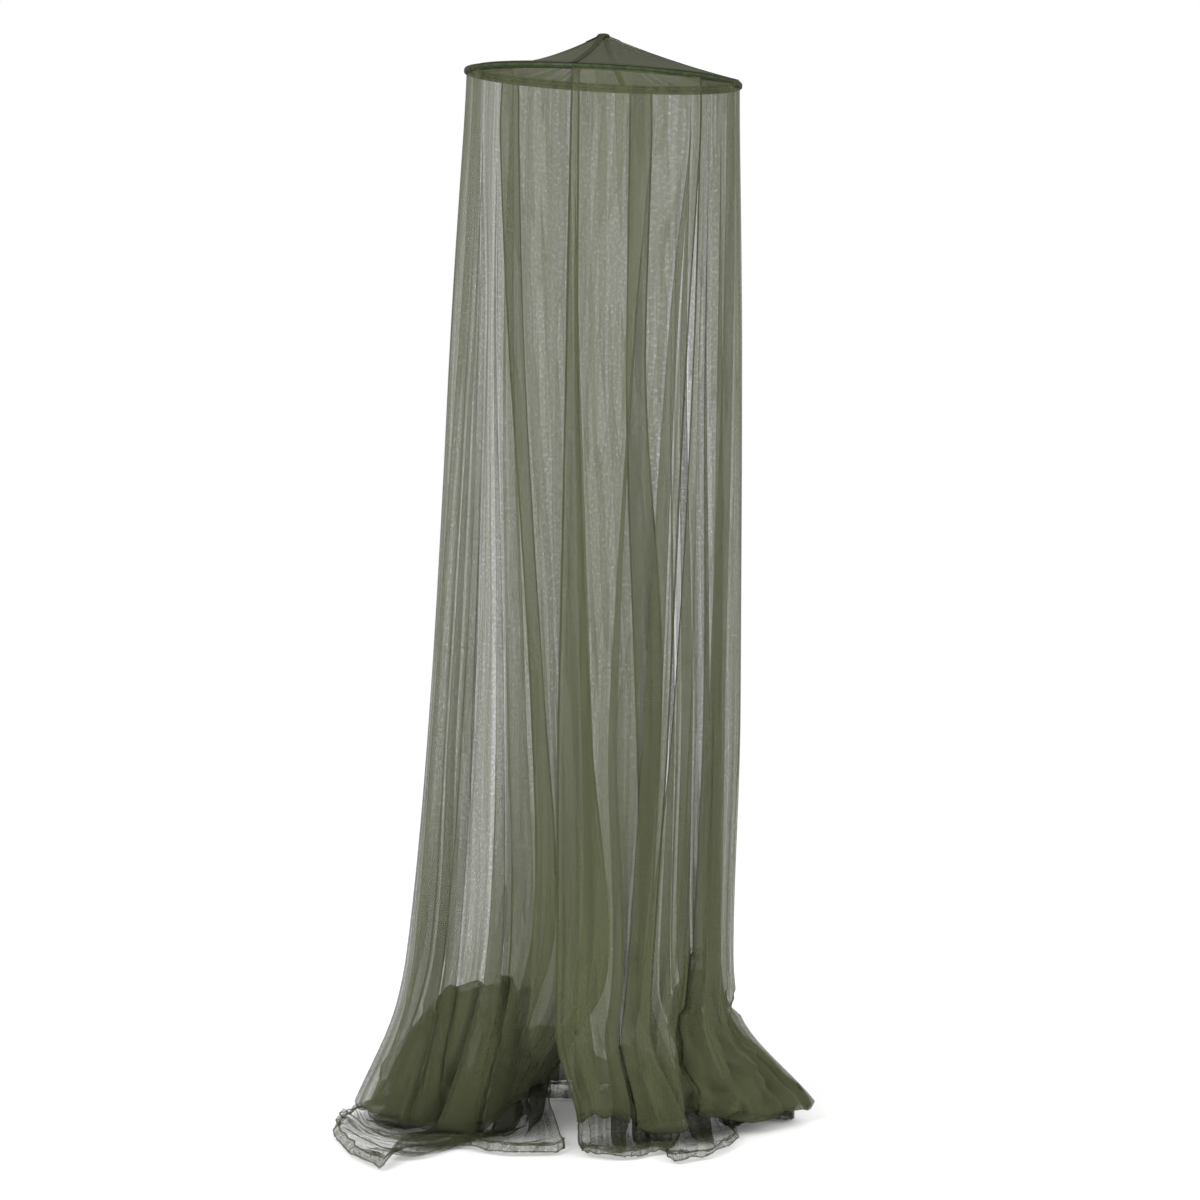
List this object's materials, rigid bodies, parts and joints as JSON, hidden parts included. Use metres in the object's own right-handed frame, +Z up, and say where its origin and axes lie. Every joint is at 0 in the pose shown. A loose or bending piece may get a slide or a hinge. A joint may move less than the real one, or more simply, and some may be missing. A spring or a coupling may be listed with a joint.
{
  "type": "mosquito net canopy with hoop",
  "caption": "Round sheer net canopy that hangs from one point, with a hoop, a shallow net roof and long lapped panels whose hems pool on the floor.",
  "frame": {"origin": "the hanging point on the hanging axis, at the top of the crown patch", "axes": "+Z up along the hanging axis; the front entrance faces -Y; +X is the viewer's right; the floor is 2.43 m under the origin"},
  "size_m": [1.075, 0.8376, 2.4265],
  "materials": {
    "net": "fine sheer olive polyester net, see-through in one layer and dark in many",
    "sleeve_net": "doubled olive net band, stitched",
    "webbing": "dark olive woven tape, matt",
    "hoop_rod": "smooth green plastic rod"
  },
  "bodies": {
    "root": {"crown_patch": "webbing", "roof_net": "net", "hoop": "hoop_rod", "hoop_sleeve": "sleeve_net", "tape_front": "webbing", "tape_right": "webbing", "tape_back": "webbing", "tape_left": "webbing", "net_left": "net", "net_front": "net", "net_right": "net", "net_back": "net"}
  },
  "joints": []
}
